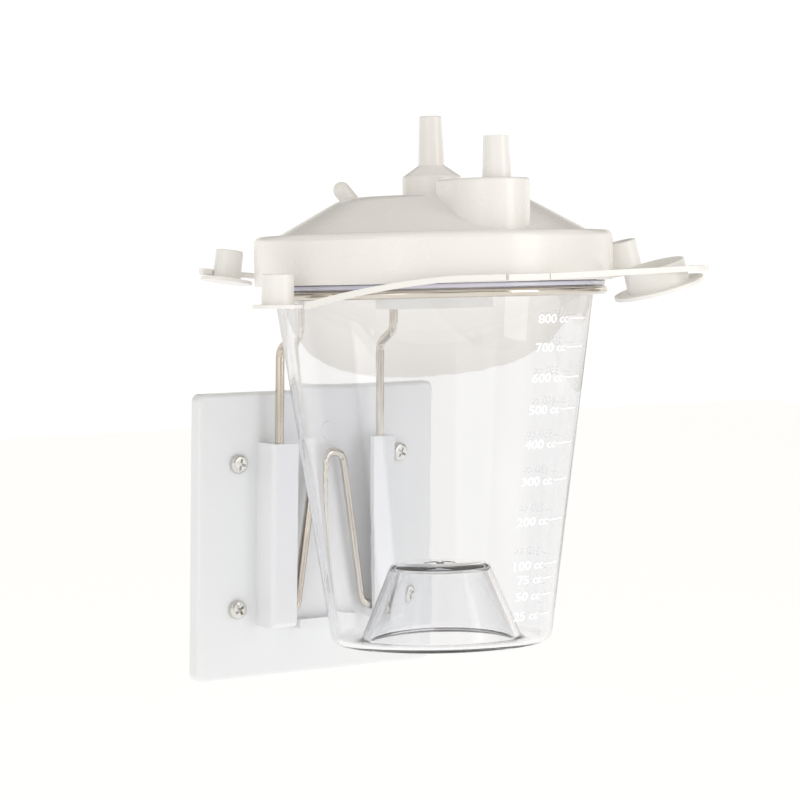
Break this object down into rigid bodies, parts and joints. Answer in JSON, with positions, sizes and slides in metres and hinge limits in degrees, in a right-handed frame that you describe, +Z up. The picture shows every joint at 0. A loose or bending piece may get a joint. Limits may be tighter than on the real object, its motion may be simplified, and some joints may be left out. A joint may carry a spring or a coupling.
{
  "type": "wall-mounted suction collection canister",
  "caption": "Clear tapered suction canister with a ported lid and tethered caps, hanging in a bent wire ring that slots into a screwed wall plate.",
  "frame": {"origin": "centre of the wall plate's back face, on the wall", "axes": "+X to the right seen from the room, +Y into the wall, +Z up; the canister stands out along -Y"},
  "size_m": [0.1702, 0.184, 0.22],
  "materials": {
    "plate_plastic": "smooth moulded, cool white",
    "screw_steel": "bright zinc",
    "bracket_chrome": "bright polished wire",
    "clear_plastic": "clear moulded polystyrene",
    "lid_plastic": "warm white, glossy",
    "cap_plastic": "warm white, soft gloss",
    "seal_rubber": "soft matt seal",
    "valve_plastic": "natural moulded",
    "filter_media": "porous pressed disc"
  },
  "bodies": {
    "plate": {"wall_plate": "plate_plastic", "plate_screws": "screw_steel"},
    "bracket": {"wire_bracket": "bracket_chrome"},
    "canister": {"canister": "clear_plastic"},
    "lid": {"lid": "lid_plastic", "lid_seal": "seal_rubber", "valve_cage": "valve_plastic", "vacuum_filter": "filter_media"},
    "float": {"shutoff_float": "valve_plastic", "float_seal": "seal_rubber"},
    "strap_front_left": {"strap_front_left": "cap_plastic"},
    "cap_front_left": {"cap_front_left": "cap_plastic"},
    "strap_front_right": {"strap_front_right": "cap_plastic"},
    "cap_front_right": {"cap_front_right": "cap_plastic"},
    "strap_back_left": {"strap_back_left": "cap_plastic"},
    "cap_back_left": {"cap_back_left": "cap_plastic"},
    "strap_back_right": {"strap_back_right": "cap_plastic"},
    "cap_back_right": {"cap_back_right": "cap_plastic"}
  },
  "joints": [
    {"name": "bracket_slide", "type": "slide", "parent": "plate", "child": "bracket", "axis": [0, 0, 1], "range_m": [0, 0.075]},
    {"name": "canister_lift", "type": "slide", "parent": "bracket", "child": "canister", "axis": [0, 0.061, 0.9981], "range_m": [0, 0.14]},
    {"name": "lid_lift", "type": "slide", "parent": "canister", "child": "lid", "axis": [0, 0.061, 0.9981], "range_m": [0, 0.03]},
    {"name": "float_rise", "type": "slide", "parent": "lid", "child": "float", "axis": [0, 0.061, 0.9981], "range_m": [0, 0.0055]},
    {"name": "strap_front_left_flex", "type": "hinge", "parent": "lid", "child": "strap_front_left", "pos_m": [-0.01873, -0.14834, 0.10715], "axis": [0.1478, 0.9872, -0.0604], "range_deg": [-15, 8], "stiffness_Nm_per_rad": 0.1},
    {"name": "cap_front_left_flex", "type": "hinge", "parent": "strap_front_left", "child": "cap_front_left", "pos_m": [-0.0749, -0.09863, 0.0954], "axis": [0.9728, 0.2313, -0.0141], "range_deg": [-28, 28], "stiffness_Nm_per_rad": 0.02},
    {"name": "strap_back_right_flex", "type": "hinge", "parent": "lid", "child": "strap_back_right", "pos_m": [0.01873, -0.01224, 0.09883], "axis": [-0.1478, -0.9872, 0.0604], "range_deg": [-15, 4], "stiffness_Nm_per_rad": 0.1},
    {"name": "cap_back_right_flex", "type": "hinge", "parent": "strap_back_right", "child": "cap_back_right", "pos_m": [0.07768, -0.09464, 0.10417], "axis": [-0.9833, 0.1819, -0.0111], "range_deg": [-50, 45], "stiffness_Nm_per_rad": 0.02},
    {"name": "strap_front_right_flex", "type": "hinge", "parent": "lid", "child": "strap_front_right", "pos_m": [-0.00202, -0.15083, 0.1073], "axis": [-0.1478, -0.9872, 0.0604], "range_deg": [-24, 2], "stiffness_Nm_per_rad": 0.1},
    {"name": "cap_front_right_flex", "type": "hinge", "parent": "strap_front_right", "child": "cap_front_right", "pos_m": [0.071, -0.14737, 0.10662], "axis": [0.1478, 0.9872, -0.0604], "range_deg": [-50, 4], "stiffness_Nm_per_rad": 0.02},
    {"name": "strap_back_left_flex", "type": "hinge", "parent": "lid", "child": "strap_back_left", "pos_m": [0.00188, -0.00973, 0.09867], "axis": [0.0785, 0.9951, -0.0609], "range_deg": [-20, 20], "stiffness_Nm_per_rad": 0.1},
    {"name": "cap_back_left_flex", "type": "hinge", "parent": "strap_back_left", "child": "cap_back_left", "pos_m": [-0.05909, -0.01282, 0.10176], "axis": [-0.0785, -0.9951, 0.0609], "range_deg": [-50, 4], "stiffness_Nm_per_rad": 0.02}
  ]
}
